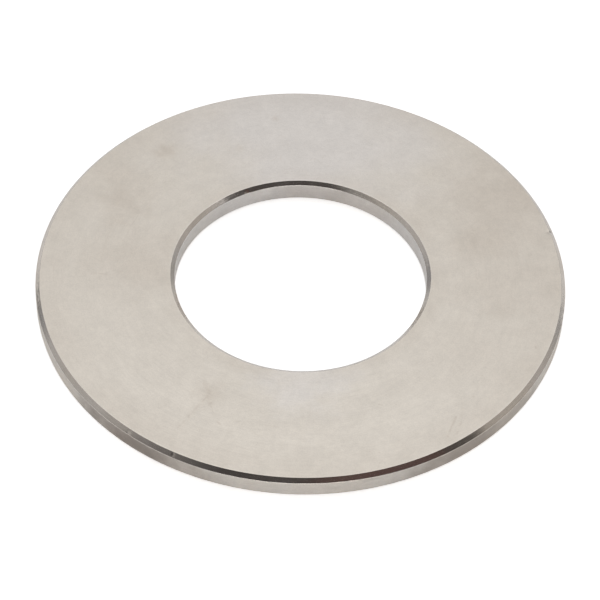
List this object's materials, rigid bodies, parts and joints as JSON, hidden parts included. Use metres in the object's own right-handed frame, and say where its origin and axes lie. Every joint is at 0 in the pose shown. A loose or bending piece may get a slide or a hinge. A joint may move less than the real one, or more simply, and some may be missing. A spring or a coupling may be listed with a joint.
{
  "type": "flat washer",
  "caption": "Flat round steel washer with a plain through bore, fine turned faces and a small chamfer on every edge.",
  "frame": {"origin": "on the bore's axis, in the plane of the underside", "axes": "+Z along the bore's axis, out of the top face; X and Y lie in the plane of the ring, which looks the same at any turn"},
  "size_m": [0.065, 0.065, 0.003],
  "materials": {
    "turned_steel": "bare steel, fine concentric turned lay, satin, with brighter chamfers"
  },
  "bodies": {
    "root": {"washer": "turned_steel"}
  },
  "joints": []
}
